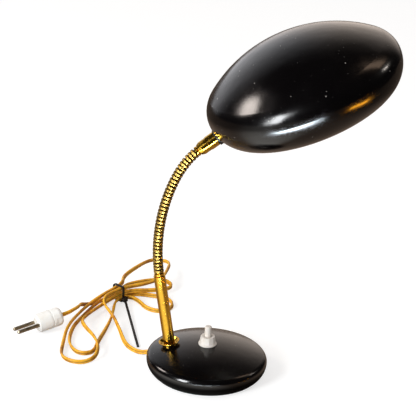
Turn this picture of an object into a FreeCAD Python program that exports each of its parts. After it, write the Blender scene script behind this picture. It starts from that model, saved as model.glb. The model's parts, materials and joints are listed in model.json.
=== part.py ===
"""Gooseneck desk lamp, millimetres.

The lamp stands on its foot pad. The origin is the middle of the pad's underside on
the table, +Z is up, +X runs from the stem's foot through the switch, and +Y is the
side that the hank of cord lies on.
"""
import FreeCAD, Part
import math
import os

import Sketcher

Vector = FreeCAD.Vector

doc = FreeCAD.newDocument("gooseneck_lamp")

# Driving dimensions

SIZES = {
    # base
    "base_radius": 62.5,
    "base_wide_height": 13.5,
    "crown_radius": 165.0,
    "shoulder_radius": 7.0,
    "tuck_radius": 16.0,
    "shell_wall": 1.2,
    "shell_edge_height": 2.0,
    "pad_radius": 55.5,
    "pad_thickness": 3.0,
    "plate_radius": 56.8,
    "plate_thickness": 1.2,
    "ballast_radius": 50.0,
    "ballast_height": 11.0,
    "ballast_eye": 14.0,
    "screw_circle": 36.0,
    # switch
    "switch_hole": 6.2,
    "switch_body_radius": 10.0,
    "switch_body_height": 17.0,
    "switch_neck_radius": 6.0,
    "switch_bore": 3.7,
    "switch_nut_flange": 9.4,
    "switch_nut_foot": 8.6,
    "switch_nut_top": 7.2,
    "switch_nut_height": 9.4,
    "button_radius": 3.6,
    "button_above_nut": 11.5,
    "button_travel": 3.0,
    # stem
    "stem_offset": 39.5,
    "stem_lean": 10.1,
    "stem_radius": 6.0,
    "stem_wall": 1.0,
    "stem_length": 78.2,
    "collar_rim": 10.8,
    "collar_height": 4.1,
    "nipple_radius": 4.95,
    "nipple_bore": 3.6,
    # neck
    "neck_rings": 38.0,
    "ring_pitch": 3.85,
    "ring_radius": 5.2,
    "ring_flat": 2.0,
    "ring_lip": 4.15,
    "groove_radius": 3.95,
    "ball_radius": 3.3,
    "ball_play": 0.06,
    "joint_gap": 0.5,
    "spigot_length": 9.0,
    "neck_bore": 1.7,
    "neck_plane_turn": 14.0,
    "neck_even_bend": 43.9,
    "neck_end_bend": 18.1,
    # shade
    "shade_radius": 102.3,
    "shade_crown": 146.3,
    "shade_shoulder": 25.2,
    "shade_tuck": 32.0,
    "shade_mouth": 74.0,
    "shade_wall": 0.9,
    "shade_lip": 1.6,
    "shade_rise": 21.7,
    "shade_reach": 121.4,
    "shade_to_neck": 76.2,
    "ferrule_length": 21.6,
    "ferrule_radius": 7.5,
    # lamp holder and bulb
    "holder_radius": 19.0,
    "holder_start": 33.5,
    "holder_length": 46.0,
    "cap_radius": 13.2,
    "bulb_radius": 27.5,
    "bulb_centre": 112.0,
    # cord, tie and plug
    "cord_diameter": 4.8,
    "exit_azimuth": 166.0,
    "exit_height": 7.4,
    "tie_width": 2.6,
    "tie_thickness": 1.1,
    "plug_radius": 10.3,
    "plug_length": 17.2,
    "plug_cap_length": 11.3,
    "plug_boss_radius": 8.0,
    "plug_flat": 9.5,
    "pin_radius": 2.0,
    "pin_length": 24.0,
    "pin_spacing": 14.0,
}

sheet = doc.addObject("Spreadsheet::Sheet", "Sizes")
for row, (alias, number) in enumerate(SIZES.items(), 1):
    sheet.set(f"A{row}", alias)
    sheet.set(f"B{row}", str(number))
    sheet.setAlias(f"B{row}", alias)
doc.recompute()


class Size:
    """A length with its value and the expression over the sheet that gives it."""

    def __init__(self, text, value):
        self.text = text
        self.value = value

    def _join(self, other, sign, value):
        return Size(f"({self.text} {sign} {as_size(other).text})", value)

    def __add__(self, other):
        return self._join(other, "+", self.value + as_size(other).value)

    def __sub__(self, other):
        return self._join(other, "-", self.value - as_size(other).value)

    def __mul__(self, other):
        return self._join(other, "*", self.value * as_size(other).value)

    def __truediv__(self, other):
        return self._join(other, "/", self.value / as_size(other).value)

    def __rsub__(self, other):
        return as_size(other) - self

    __radd__ = __add__
    __rmul__ = __mul__

    def __neg__(self):
        return Size(f"(0 - {self.text})", -self.value)


def as_size(thing):
    """A plain number as a Size, or the Size itself."""
    if isinstance(thing, Size):
        return thing
    return Size(repr(float(thing)), float(thing))


def root(size):
    return Size(f"sqrt({size.text})", math.sqrt(size.value))


def cell(alias):
    return Size(f"Sizes.{alias}", float(sheet.get(alias)))


def number(alias):
    return float(sheet.get(alias))


def bind(thing, **properties):
    """Bind each named property of thing to a Size."""
    for name, size in properties.items():
        thing.setExpression(name, as_size(size).text)


# Outlines and solids of revolution


def arc_centre(start, end, radius, left):
    """Centre of the short arc from start to end, on the left or right of the chord."""
    chord = end - start
    half = chord.Length / 2
    rise = math.sqrt(max(radius * radius - half * half, 0.0))
    side = Vector(-chord.y, chord.x, 0).normalize()
    if not left:
        side = side * -1
    return (start + end) / 2 + side * rise


def outline(sketch, corners):
    """Draw a closed outline in a sketch and tie it to the sheet.

    corners holds (x, y) or (x, y, radius, left): the stretch that leaves the corner is
    a line, or the short arc of that radius with its centre on that side.
    """
    places = [Vector(as_size(c[0]).value, as_size(c[1]).value, 0) for c in corners]
    count = len(corners)
    flips = []
    for i, corner in enumerate(corners):
        start, end = places[i], places[(i + 1) % count]
        if len(corner) == 2:
            sketch.addGeometry(Part.LineSegment(start, end), False)
            flips.append(False)
            continue
        radius, left = as_size(corner[2]), corner[3]
        centre = arc_centre(start, end, radius.value, left)
        first = math.atan2(start.y - centre.y, start.x - centre.x)
        last = math.atan2(end.y - centre.y, end.x - centre.x)
        if not left:
            first, last = last, first
        circle = Part.Circle(centre, Vector(0, 0, 1), radius.value)
        sketch.addGeometry(Part.ArcOfCircle(circle, first, last), False)
        flips.append(not left)
    start_point = [2 if flip else 1 for flip in flips]
    end_point = [1 if flip else 2 for flip in flips]
    for i in range(count):
        after = (i + 1) % count
        joint = ("Coincident", i, end_point[i], after, start_point[after])
        sketch.addConstraint(Sketcher.Constraint(*joint))
    for i, corner in enumerate(corners):
        for axis, size in zip("XY", corner[:2]):
            size = as_size(size)
            if abs(size.value) < 1e-9:
                line = -2 if axis == "X" else -1
                on = ("PointOnObject", i, start_point[i], line)
                sketch.addConstraint(Sketcher.Constraint(*on))
                continue
            spot = (f"Distance{axis}", -1, 1, i, start_point[i], size.value)
            index = sketch.addConstraint(Sketcher.Constraint(*spot))
            sketch.setExpression(f"Constraints[{index}]", size.text)
        if len(corner) > 2:
            radius = as_size(corner[2])
            bend = Sketcher.Constraint("Radius", i, radius.value)
            index = sketch.addConstraint(bend)
            sketch.setExpression(f"Constraints[{index}]", radius.text)


def origin_plane(body, role):
    for feature in body.Origin.OriginFeatures:
        if feature.Role == role:
            return feature
    raise ValueError(role)


def new_sketch(body, name, role, corners):
    sketch = body.newObject("Sketcher::SketchObject", name)
    sketch.AttachmentSupport = (origin_plane(body, role), [""])
    sketch.MapMode = "FlatFace"
    outline(sketch, corners)
    return sketch


def turned(label, corners, placement=None):
    """A body turned about its own Z axis from corners given as (radius, height)."""
    body = doc.addObject("PartDesign::Body", label)
    body.Label = label
    sketch = new_sketch(body, label + "_profile", "XZ_Plane", corners)
    turn = body.newObject("PartDesign::Revolution", label + "_turn")
    turn.Profile = sketch
    turn.ReferenceAxis = (sketch, ["V_Axis"])
    turn.Angle = 360
    body.Tip = turn
    if placement is not None:
        body.Placement = placement
    sketch.Visibility = False
    return body


def cylinder(label, radius, height, placement=None):
    rod = doc.addObject("Part::Cylinder", label)
    rod.Label = label
    bind(rod, Radius=radius, Height=height)
    if placement is not None:
        rod.Placement = placement
    return rod


def box(label, length, width, height, placement):
    block = doc.addObject("Part::Box", label)
    block.Label = label
    bind(block, Length=length, Width=width, Height=height)
    block.Placement = placement
    return block


def prism(label, sides, width, height, placement):
    """A regular prism of that width across its flats."""
    nut = doc.addObject("Part::Prism", label)
    nut.Label = label
    nut.Polygon = sides
    corner = as_size(width) / (2 * math.cos(math.pi / sides))
    bind(nut, Circumradius=corner, Height=height)
    nut.Placement = placement
    return nut


def cut(label, base, tool):
    result = doc.addObject("Part::Cut", label)
    result.Label = label
    result.Base = base
    result.Tool = tool
    return result


def common(label, base, tool):
    result = doc.addObject("Part::Common", label)
    result.Label = label
    result.Base = base
    result.Tool = tool
    return result


def fused(label, *pieces):
    result = doc.addObject("Part::MultiFuse", label)
    result.Label = label
    result.Shapes = list(pieces)
    return result


def group(label, pieces):
    """Several separate solids under one name."""
    result = doc.addObject("Part::Compound", label)
    result.Label = label
    result.Links = list(pieces)
    return result


def shaped(label, shape):
    feature = doc.addObject("Part::Feature", label)
    feature.Label = label
    feature.Shape = shape
    return feature


def frame(origin, x, y, z):
    """Placement with its own X, Y and Z axes along the given directions."""
    matrix = FreeCAD.Matrix(
        x.x, y.x, z.x, origin.x,
        x.y, y.y, z.y, origin.y,
        x.z, y.z, z.z, origin.z,
        0, 0, 0, 1,
    )
    return FreeCAD.Placement(matrix)


def along(placement, distance, across=0.0, turn=0.0):
    """placement moved along its own Z and X, then turned about its own Z."""
    step = FreeCAD.Placement(
        Vector(across, 0, distance), FreeCAD.Rotation(Vector(0, 0, 1), turn)
    )
    return placement.multiply(step)


# The lamp's own directions

crown_centre = cell("base_wide_height") - root(
    (cell("crown_radius") - cell("shoulder_radius"))
    * (cell("crown_radius") - cell("shoulder_radius"))
    - (cell("base_radius") - cell("shoulder_radius"))
    * (cell("base_radius") - cell("shoulder_radius"))
)
base_height = crown_centre + cell("crown_radius")

lean = math.radians(number("stem_lean"))
stem_up = Vector(-math.sin(lean), 0, math.cos(lean))
plane_turn = math.radians(number("neck_plane_turn"))
side = Vector(0, 1, 0)
hinge_line = side * math.cos(plane_turn) + stem_up.cross(side) * math.sin(plane_turn)
bend_way = hinge_line.cross(stem_up)
foot_rise = math.sqrt(number("crown_radius") ** 2 - number("stem_offset") ** 2)
stem_foot = Vector(-number("stem_offset"), 0, crown_centre.value + foot_rise)
stem_frame = frame(stem_foot, bend_way, hinge_line, stem_up)


def neck_direction(share):
    """Direction of the neck at a share of its length, bent ever more towards its end."""
    even, end = number("neck_even_bend"), number("neck_end_bend")
    angle = math.radians(even * share + end * share**7)
    return stem_up * math.cos(angle) + bend_way * math.sin(angle)


NECK_LENGTHS = 12
RINGS_PER_LENGTH = 3


def neck_frames():
    """Frames of the neck's root ring, its lengths and its tip ring, and its end point."""
    rings, pitch = number("neck_rings"), number("ring_pitch")
    spans = [1] + [RINGS_PER_LENGTH] * NECK_LENGTHS + [1]
    place = stem_foot + stem_up * number("stem_length")
    frames, done = [], 0
    for span in spans:
        share = (done + span / 2) / rings
        if span == 1:
            share = round(share)
        up = neck_direction(share)
        frames.append(frame(place, hinge_line.cross(up), hinge_line, up))
        place = place + up * (span * pitch)
        done += span
    return frames, place


neck_places, neck_end = neck_frames()
neck_out = neck_direction(1.0)
tilt = math.radians(number("shade_to_neck"))
neck_square = hinge_line.cross(neck_out)
shade_up = neck_out * math.cos(tilt) - neck_square * math.sin(tilt)
shade_out = hinge_line.cross(shade_up)
shade_centre = (
    neck_end
    + shade_out * number("shade_reach")
    + shade_up * number("shade_rise")
)
shade_frame = frame(shade_centre, shade_out, hinge_line, shade_up)
holder_frame = frame(neck_end, neck_square, hinge_line, neck_out)

# Base


def crown_point(radius_loss):
    """Where the crown arc runs into the shoulder arc, for a skin that far inside."""
    share = (cell("base_radius") - cell("shoulder_radius")) / (
        cell("crown_radius") - cell("shoulder_radius")
    )
    rise = (cell("base_wide_height") - crown_centre) / (
        cell("crown_radius") - cell("shoulder_radius")
    )
    crown = cell("crown_radius") - radius_loss
    return crown * share, crown_centre + crown * rise


def tuck_edge(radius_loss):
    """Radius of the shell's tucked-in edge, for a skin that far inside."""
    tuck = cell("tuck_radius") - radius_loss
    drop = cell("base_wide_height") - cell("shell_edge_height")
    return cell("base_radius") - cell("tuck_radius") + root(tuck * tuck - drop * drop)


def base_skin(loss):
    """Corners from the top of the dome to its lower edge, for a skin that far inside."""
    x, z = crown_point(loss)
    return [
        (0, base_height - loss, cell("crown_radius") - loss, False),
        (x, z, cell("shoulder_radius") - loss, False),
        (
            cell("base_radius") - loss,
            cell("base_wide_height"),
            cell("tuck_radius") - loss,
            False,
        ),
        (tuck_edge(loss), cell("shell_edge_height")),
    ]


def reversed_skin(loss):
    """The same skin from its lower edge to the top of the dome."""
    x, z = crown_point(loss)
    return [
        (
            tuck_edge(loss),
            cell("shell_edge_height"),
            cell("tuck_radius") - loss,
            True,
        ),
        (
            cell("base_radius") - loss,
            cell("base_wide_height"),
            cell("shoulder_radius") - loss,
            True,
        ),
        (x, z, cell("crown_radius") - loss, True),
        (0, base_height - loss),
    ]


def exit_frame():
    """Frame of the cord's way out: Z leaves the shell square to its tucked side."""
    azimuth = math.radians(number("exit_azimuth"))
    radial = Vector(math.cos(azimuth), math.sin(azimuth), 0)
    drop = number("base_wide_height") - number("exit_height")
    tuck = number("tuck_radius")
    reach = math.sqrt(tuck * tuck - drop * drop)
    place = radial * (number("base_radius") - tuck + reach)
    place.z = number("exit_height")
    outward = (radial * reach - Vector(0, 0, drop)).normalize()
    across = Vector(0, 0, 1).cross(radial)
    return frame(place, across.cross(outward), across, outward)


cord_exit = exit_frame()


def make_base_shell():
    wall = cell("shell_wall")
    blank = turned("shell_blank", base_skin(as_size(0)) + reversed_skin(wall))
    switch_way = cylinder("shell_switch_way", cell("switch_hole"), 60)
    stem_way = cylinder("shell_stem_way", cell("nipple_radius"), 20, along(stem_frame, -12))
    cord_way = cylinder("shell_cord_way", 4.2, 16, along(cord_exit, -8))
    ways = fused("shell_ways", switch_way, stem_way, cord_way)
    return cut("base_shell", blank, ways)


def make_foot_pad():
    return cylinder("foot_pad", cell("pad_radius"), cell("pad_thickness"))


def make_base_plate():
    plate = cylinder(
        "plate_blank",
        cell("plate_radius"),
        cell("plate_thickness"),
        FreeCAD.Placement(Vector(0, 0, number("pad_thickness")), FreeCAD.Rotation()),
    )
    holes = [
        cylinder(f"plate_hole_{i}", 2.2, 10, screw_place(i, 0)) for i in range(3)
    ]
    return cut("base_plate", plate, fused("plate_holes", *holes))


def screw_place(index, height):
    """Placement of one of the three fixing screws, at that height."""
    angle = math.radians(45 + 120 * index)
    circle = number("screw_circle")
    place = Vector(circle * math.cos(angle), circle * math.sin(angle), height)
    return FreeCAD.Placement(place, FreeCAD.Rotation())


def make_ballast():
    floor = cell("pad_thickness") + cell("plate_thickness")
    top = floor + cell("ballast_height")
    rim = cell("ballast_radius")
    eye = cell("ballast_eye")
    ring = turned(
        "ballast_blank",
        [
            (eye, floor),
            (rim, floor),
            (rim, top - 3),
            (rim - 3, top),
            (eye, top),
        ],
    )
    channel = box(
        "ballast_channel",
        rim.value,
        9,
        30,
        FreeCAD.Placement(
            Vector(0, 0, 0), FreeCAD.Rotation(Vector(0, 0, 1), number("exit_azimuth"))
        ).multiply(FreeCAD.Placement(Vector(4, -4.5, 0), FreeCAD.Rotation())),
    )
    bind(channel, Length=rim + 4)
    bores = [
        cylinder(f"ballast_bore_{i}", 1.7, 9, screw_place(i, 3)) for i in range(3)
    ]
    return cut("ballast_weight", ring, fused("ballast_cuts", channel, *bores))


def make_base_screws():
    """Three countersunk screws up through the plate into the ballast."""
    floor = cell("pad_thickness")
    screws = []
    for i in range(3):
        screw = turned(
            f"base_screw_{i}",
            [
                (0, floor),
                (2.1, floor),
                (2.1, floor + cell("plate_thickness")),
                (1.6, floor + cell("plate_thickness")),
                (1.6, floor + 8),
                (0, floor + 8),
            ],
            screw_place(i, 0),
        )
        screws.append(screw)
    return group("base_screws", screws)


def make_cord_grommet():
    """Flanged bush that guards the cord where it leaves the shell."""
    wall = cell("shell_wall")
    return turned(
        "cord_grommet",
        [
            (2.6, -2.8),
            (4.7, -2.8),
            (4.7, -wall - 0.95),
            (4.1, -wall - 0.95),
            (4.1, 0.25),
            (5.6, 0.25),
            (5.2, 1.6),
            (3.2, 2.6),
            (2.6, 2.6),
        ],
        cord_exit,
    )


# Switch

switch_seat = base_height - 1.57
nut_seat = base_height - 0.1


def make_switch_body():
    """Round housing under the dome with a threaded neck through it."""
    top = nut_seat + cell("switch_nut_height") - 1.4
    low = switch_seat - cell("switch_body_height")
    neck = cell("switch_neck_radius")
    return turned(
        "switch_body",
        [
            (0, low),
            (cell("switch_body_radius"), low),
            (cell("switch_body_radius"), switch_seat),
            (neck, switch_seat),
            (neck, top),
            (cell("switch_bore"), top),
            (cell("switch_bore"), switch_seat - 1.5),
            (7.0, switch_seat - 1.5),
            (7.0, low + 2.5),
            (0, low + 2.5),
        ],
    )


def make_switch_nut():
    """Tapered nut with ten flats above a flange that bears on the dome."""
    height = cell("switch_nut_height")
    flange = cell("switch_nut_flange")
    skirt = turned(
        "nut_skirt",
        [
            (cell("switch_neck_radius") + 0.05, nut_seat),
            (flange - 0.2, nut_seat),
            (flange, nut_seat + 0.4),
            (flange, nut_seat + 1.4),
            (cell("switch_nut_foot"), nut_seat + 1.9),
            (cell("switch_nut_foot"), nut_seat + 2.4),
            (cell("switch_neck_radius") + 0.05, nut_seat + 2.4),
        ],
    )
    flats = 10
    foot = regular_wire(flats, number("switch_nut_foot"), nut_seat.value + 1.8)
    rim = regular_wire(
        flats, number("switch_nut_top"), nut_seat.value + number("switch_nut_height")
    )
    taper = shaped("nut_taper", Part.makeLoft([foot, rim], True, True))
    bore = turned(
        "nut_bore",
        [
            (0, nut_seat - 1),
            (cell("switch_neck_radius") + 0.05, nut_seat - 1),
            (cell("switch_neck_radius") + 0.05, nut_seat + height - 1.35),
            (4.4, nut_seat + height - 1.35),
            (4.4, nut_seat + height + 1),
            (0, nut_seat + height + 1),
        ],
    )
    return cut("switch_nut", fused("nut_solid", skirt, taper), bore)


def regular_wire(sides, radius, height):
    """A regular polygon of that corner radius, flat at that height."""
    corners = []
    for i in range(sides + 1):
        angle = 2 * math.pi * i / sides
        corners.append(Vector(radius * math.cos(angle), radius * math.sin(angle), height))
    return Part.makePolygon(corners)


def make_switch_button():
    """Push button with a rounded head and a collar that keeps it in the neck."""
    radius = cell("button_radius")
    top = nut_seat + cell("switch_nut_height") + cell("button_above_nut")
    collar = switch_seat - 1.6
    return turned(
        "switch_button",
        [
            (0, collar - 1.6),
            (5.2, collar - 1.6),
            (5.2, collar),
            (radius, collar),
            (radius, top - 1.6, 1.6, True),
            (radius - 1.6, top),
            (0, top),
        ],
    )


def make_switch_spring():
    """Return spring under the button, a helix of round wire."""
    low = switch_seat.value - number("switch_body_height") + 2.5
    high = switch_seat.value - 3.2
    wire = 0.35
    turns = 5
    pitch = (high - low - 2 * wire) / turns
    helix = Part.makeHelix(pitch, pitch * turns, 3.0)
    section = regular_wire(6, wire, 0)
    section = section.transformGeometry(
        FreeCAD.Placement(
            Vector(3.0, 0, 0), FreeCAD.Rotation(Vector(1, 0, 0), 90)
        ).toMatrix()
    )
    coil = Part.Wire(helix.Edges).makePipeShell([section], True, True)
    coil.translate(Vector(0, 0, low + wire))
    return shaped("switch_spring", coil)


def make_switch_terminals():
    """Two blades under the switch that the cord's wires are soldered to."""
    low = switch_seat - cell("switch_body_height")
    blades = []
    for i, across in enumerate((-4.0, 4.0)):
        place = FreeCAD.Placement(Vector(across - 0.4, -2, 0), FreeCAD.Rotation())
        blade = box(f"switch_blade_{i}", 0.8, 4, 5, place)
        blade.setExpression("Placement.Base.z", (low - 5).text)
        blades.append(blade)
    return group("switch_terminals", blades)


# Stem


def dome_ball(label, loss):
    ball = doc.addObject("Part::Sphere", label)
    bind(ball, Radius=cell("crown_radius") - loss)
    ball.setExpression("Placement.Base.z", crown_centre.text)
    return ball


outer_ball = dome_ball("outer_ball", 0)
inner_ball = dome_ball("inner_ball", cell("shell_wall"))


def make_stem_tube():
    radius = cell("stem_radius")
    bore = radius - cell("stem_wall")
    blank = turned(
        "stem_blank",
        [
            (bore, -3),
            (radius, -3),
            (radius, cell("stem_length")),
            (bore, cell("stem_length")),
        ],
        stem_frame,
    )
    return cut("stem_tube", blank, outer_ball)


def make_stem_collar():
    """Flared cup that the stem stands in, seated on the dome."""
    radius = cell("stem_radius") + 0.05
    rim = cell("collar_rim")
    height = cell("collar_height")
    blank = turned(
        "collar_blank",
        [
            (radius, -3),
            (radius + 1.6, -3),
            (radius + 1.6, 0.9),
            (rim, height - 0.5),
            (rim - 0.1, height),
            (rim - 0.9, height),
            (radius + 1.0, 1.8),
            (radius, 1.8),
        ],
        stem_frame,
    )
    return cut("stem_collar", blank, outer_ball)


def make_stem_nipple():
    """Hollow threaded rod that draws the stem down onto the shell."""
    return turned(
        "stem_nipple",
        [
            (cell("nipple_bore"), -8.6),
            (cell("nipple_radius") - 0.4, -8.6),
            (cell("nipple_radius"), -8.2),
            (cell("nipple_radius"), 15.6),
            (cell("nipple_radius") - 0.4, 16),
            (cell("nipple_bore"), 16),
        ],
        stem_frame,
    )


def make_stem_washer():
    blank = turned(
        "stem_washer_blank",
        [
            (cell("nipple_radius") + 0.05, -3.4),
            (9.0, -3.4),
            (9.0, 3),
            (cell("nipple_radius") + 0.05, 3),
        ],
        stem_frame,
    )
    return common("stem_washer", blank, inner_ball)


def make_stem_nut():
    blank = prism("stem_nut_blank", 6, 14, 3.6, along(stem_frame, -7.0))
    bore = cylinder("stem_nut_bore", cell("nipple_radius"), 8, along(stem_frame, -9))
    return cut("stem_nut", blank, bore)


# Neck


def ball_end(height):
    """Corners of the ball that ends a piece of the neck, centred on that height."""
    ball, gap = cell("ball_radius"), cell("joint_gap")
    head = ball * 0.76
    return [
        (cell("ring_lip"), height - gap),
        (root(ball * ball - gap * gap), height - gap, ball, True),
        (head, height + root(ball * ball - head * head)),
        (cell("neck_bore"), height + root(ball * ball - head * head)),
    ]


def socket_end():
    """Corners of the socket that starts a piece of the neck, centred on its origin."""
    socket = cell("ball_radius") + cell("ball_play")
    gap = cell("joint_gap")
    throat = socket * 0.56
    deep = root(socket * socket - throat * throat)
    return [
        (cell("neck_bore"), deep),
        (throat, deep, socket, False),
        (root(socket * socket - gap * gap), gap),
        (cell("ring_lip"), gap),
    ]


def ring_crests(rings):
    """Corners of that many rings in a row, with the grooves between them."""
    pitch, flat = cell("ring_pitch"), cell("ring_flat")
    corners = []
    for ring in range(rings):
        middle = pitch * (ring + 0.5)
        if ring > 0:
            corners.append((cell("groove_radius"), pitch * ring))
        corners.append((cell("ring_radius"), middle - flat / 2))
        corners.append((cell("ring_radius"), middle + flat / 2))
    return corners


def make_neck():
    """The neck's root ring, its short lengths, and its tip ring.

    A length's ball sits in the socket of the next one. The root and the tip have
    spigots that are pressed into the stem and the ferrule.
    """
    pitch, bore = cell("ring_pitch"), cell("neck_bore")
    spigot, reach = cell("nipple_radius"), cell("spigot_length")
    groove = cell("groove_radius")
    root_corners = [(bore, -reach), (spigot, -reach), (spigot, 0), (groove, 0)]
    root_corners += ring_crests(1) + ball_end(pitch)
    pieces = [turned("neck_root", root_corners, neck_places[0])]
    length = pitch * RINGS_PER_LENGTH
    corners = socket_end() + ring_crests(RINGS_PER_LENGTH) + ball_end(length)
    for i in range(NECK_LENGTHS):
        pieces.append(turned(f"neck_length_{i + 1:02d}", corners, neck_places[i + 1]))
    tip_corners = socket_end() + ring_crests(1)
    tip_corners += [(groove, pitch), (spigot, pitch)]
    tip_corners += [(spigot, pitch + reach), (bore, pitch + reach)]
    pieces.append(turned("neck_tip", tip_corners, neck_places[-1]))
    return pieces


# Shade


def shade_skin(loss):
    """Corners from the top of the shade to its mouth, for a skin that far inside."""
    crown, shoulder = cell("shade_crown"), cell("shade_shoulder")
    radius, tuck = cell("shade_radius"), cell("shade_tuck")
    centre = -root(
        (crown - shoulder) * (crown - shoulder) - (radius - shoulder) * (radius - shoulder)
    )
    share = (radius - shoulder) / (crown - shoulder)
    rise = (-centre) / (crown - shoulder)
    inward = radius - tuck
    reach = cell("shade_mouth") - inward
    drop = root((tuck - loss) * (tuck - loss) - reach * reach)
    return [
        (0, centre + crown - loss),
        ((crown - loss) * share, centre + (crown - loss) * rise),
        (radius - loss, 0),
        (cell("shade_mouth"), -drop),
    ]


def shade_bends(loss):
    return [
        cell("shade_crown") - loss,
        cell("shade_shoulder") - loss,
        cell("shade_tuck") - loss,
    ]


def make_shade():
    """Pressed shade: a shallow dome rolled under to a round mouth."""
    wall = cell("shade_wall")
    outer, inner = shade_skin(as_size(0)), shade_skin(wall)
    bends, inner_bends = shade_bends(as_size(0)), shade_bends(wall)
    corners = [(*outer[i], bends[i], False) for i in range(3)]
    corners.append(outer[3])
    for i in (3, 2, 1):
        corners.append((*inner[i], inner_bends[i - 1], True))
    corners.append(inner[0])
    blank = turned("shade_blank", corners, shade_frame)
    way = cylinder("shade_way", cell("nipple_radius"), 20, along(holder_frame, 15))
    return cut("shade_shell", blank, way)


def shade_form(label, loss):
    """The solid that fills the shade's skin, for seating what bears on it."""
    points = shade_skin(loss)
    bends = shade_bends(loss)
    corners = [(*points[i], bends[i], False) for i in range(3)]
    corners.append(points[3])
    corners.append((0, points[3][1]))
    return turned(label, corners, shade_frame)


def make_ferrule():
    """Brass sleeve between the neck and the shade, tapered at its lower end."""
    bore = cell("nipple_radius") + 0.03
    radius = cell("ferrule_radius")
    length = cell("ferrule_length")
    return turned(
        "neck_ferrule",
        [
            (bore, 0.3),
            (5.7, 0.3),
            (radius - 0.5, 3.8),
            (radius - 0.5, 11.4),
            (radius, 11.8),
            (radius, length - 0.6),
            (radius - 0.5, length),
            (bore, length),
        ],
        holder_frame,
    )


def make_ferrule_washer(outer_form):
    blank = turned(
        "ferrule_washer_blank",
        [
            (cell("nipple_radius") + 0.05, cell("ferrule_length")),
            (8.6, cell("ferrule_length")),
            (8.6, 32),
            (cell("nipple_radius") + 0.05, 32),
        ],
        holder_frame,
    )
    return cut("ferrule_washer", blank, outer_form)


def make_shade_washer(inner_form):
    blank = turned(
        "shade_washer_blank",
        [
            (cell("nipple_radius") + 0.05, 18),
            (9.0, 18),
            (9.0, 30.4),
            (cell("nipple_radius") + 0.05, 30.4),
        ],
        holder_frame,
    )
    return common("shade_washer", blank, inner_form)


def make_shade_nipple():
    return turned(
        "shade_nipple",
        [
            (cell("nipple_bore"), 9.4),
            (cell("nipple_radius"), 9.4),
            (cell("nipple_radius"), 42),
            (cell("nipple_bore"), 42),
        ],
        holder_frame,
    )


def make_shade_nut():
    blank = prism("shade_nut_blank", 6, 14, 3.0, along(holder_frame, 30.4))
    bore = cylinder("shade_nut_bore", cell("nipple_radius"), 8, along(holder_frame, 28))
    return cut("shade_nut", blank, bore)


# Lamp holder and bulb


def make_holder_cap():
    """Domed back of the lamp holder, screwed on the nipple."""
    start = cell("holder_start")
    radius = cell("holder_radius")
    return turned(
        "holder_cap",
        [
            (cell("nipple_radius"), start),
            (7.0, start),
            (radius - 4, start + 4),
            (radius - 1, start + 11),
            (radius - 1, start + 16),
            (radius - 3.2, start + 16),
            (radius - 3.2, start + 12),
            (radius - 6, start + 6),
            (7.0, start + 5),
            (cell("nipple_radius"), start + 5),
        ],
        holder_frame,
    )


def make_holder_shell():
    """Front sleeve of the lamp holder with its ribbed grip and rounded lip."""
    start = cell("holder_start") + 16
    end = cell("holder_start") + cell("holder_length")
    radius = cell("holder_radius")
    return turned(
        "holder_shell",
        [
            (radius - 3.2, start),
            (radius, start),
            (radius, start + 3),
            (radius - 0.8, start + 4),
            (radius - 0.8, end - 5),
            (radius, end - 4),
            (radius, end - 1),
            (radius - 1, end),
            (cell("cap_radius") + 0.9, end),
            (cell("cap_radius") + 0.9, start + 6),
            (radius - 3.2, start + 6),
        ],
        holder_frame,
    )


def make_holder_insert():
    """Ceramic block that carries the two contacts."""
    start = cell("holder_start") + 12.2
    radius = cell("holder_radius")
    block = turned(
        "insert_blank",
        [
            (0, start),
            (radius - 3.3, start),
            (radius - 3.3, start + 9.6),
            (0, start + 9.6),
        ],
        holder_frame,
    )
    slot = box(
        "insert_slot",
        6,
        20,
        3,
        along(holder_frame, number("holder_start") + 12.2 + 7.6).multiply(
            FreeCAD.Placement(Vector(-3, -10, 0), FreeCAD.Rotation())
        ),
    )
    return cut("holder_insert", block, slot)


def make_holder_contacts():
    """Sprung centre tongue and side tongue of the lamp holder."""
    deep = along(holder_frame, number("holder_start") + 12.2 + 7.6)
    centre = box(
        "centre_contact",
        5,
        12,
        0.6,
        deep.multiply(FreeCAD.Placement(Vector(-2.5, -8, 0), FreeCAD.Rotation())),
    )
    button = cylinder(
        "contact_button", 2.4, 4.2, along(holder_frame, number("holder_start") + 20.3)
    )
    tongue = fused("centre_tongue", centre, button)
    side_tongue = box(
        "side_tongue",
        4,
        0.5,
        13,
        along(holder_frame, number("holder_start") + 21.8).multiply(
            FreeCAD.Placement(Vector(-2, 13.45, 0), FreeCAD.Rotation())
        ),
    )
    return group("holder_contacts", [tongue, side_tongue])


def make_bulb_cap():
    """Rolled-thread metal cap of the bulb, with its contact at the tip."""
    start = cell("holder_start") + 24.6
    radius = cell("cap_radius")
    corners = [(0, start), (3.6, start), (radius - 3.5, start + 3.5)]
    threads = 4
    for i in range(threads):
        low = start + 4.5 + 3.6 * i
        corners += [(radius - 0.9, low), (radius - 0.1, low + 1.8)]
    corners += [(radius - 0.9, start + 19.5), (radius - 0.9, start + 24)]
    corners += [(radius - 1.8, start + 24), (radius - 1.8, start + 5), (0, start + 5)]
    return turned("bulb_cap", corners, holder_frame)


def make_bulb_glass():
    """Thin opal glass bulb, drawn in to a neck that stands in the cap."""
    start = cell("holder_start") + 40
    flare = start + 13
    radius = cell("bulb_radius")
    centre = cell("bulb_centre")
    wall = 1.0
    neck = 11.3
    waist = 0.72
    rise = centre - radius * math.sqrt(1 - waist * waist)
    inner = radius - wall
    inner_rise = centre - inner * math.sqrt(1 - waist * waist)
    return turned(
        "bulb_glass",
        [
            (neck - wall, start),
            (neck, start),
            (neck, flare),
            (radius * waist, rise, radius, True),
            (radius, centre, radius, True),
            (0, centre + radius),
            (0, centre + inner, inner, False),
            (inner, centre, inner, False),
            (inner * waist, inner_rise),
            (neck - wall, flare),
        ],
        holder_frame,
    )


# Cord

CORD_RADIUS = number("cord_diameter") / 2

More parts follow.
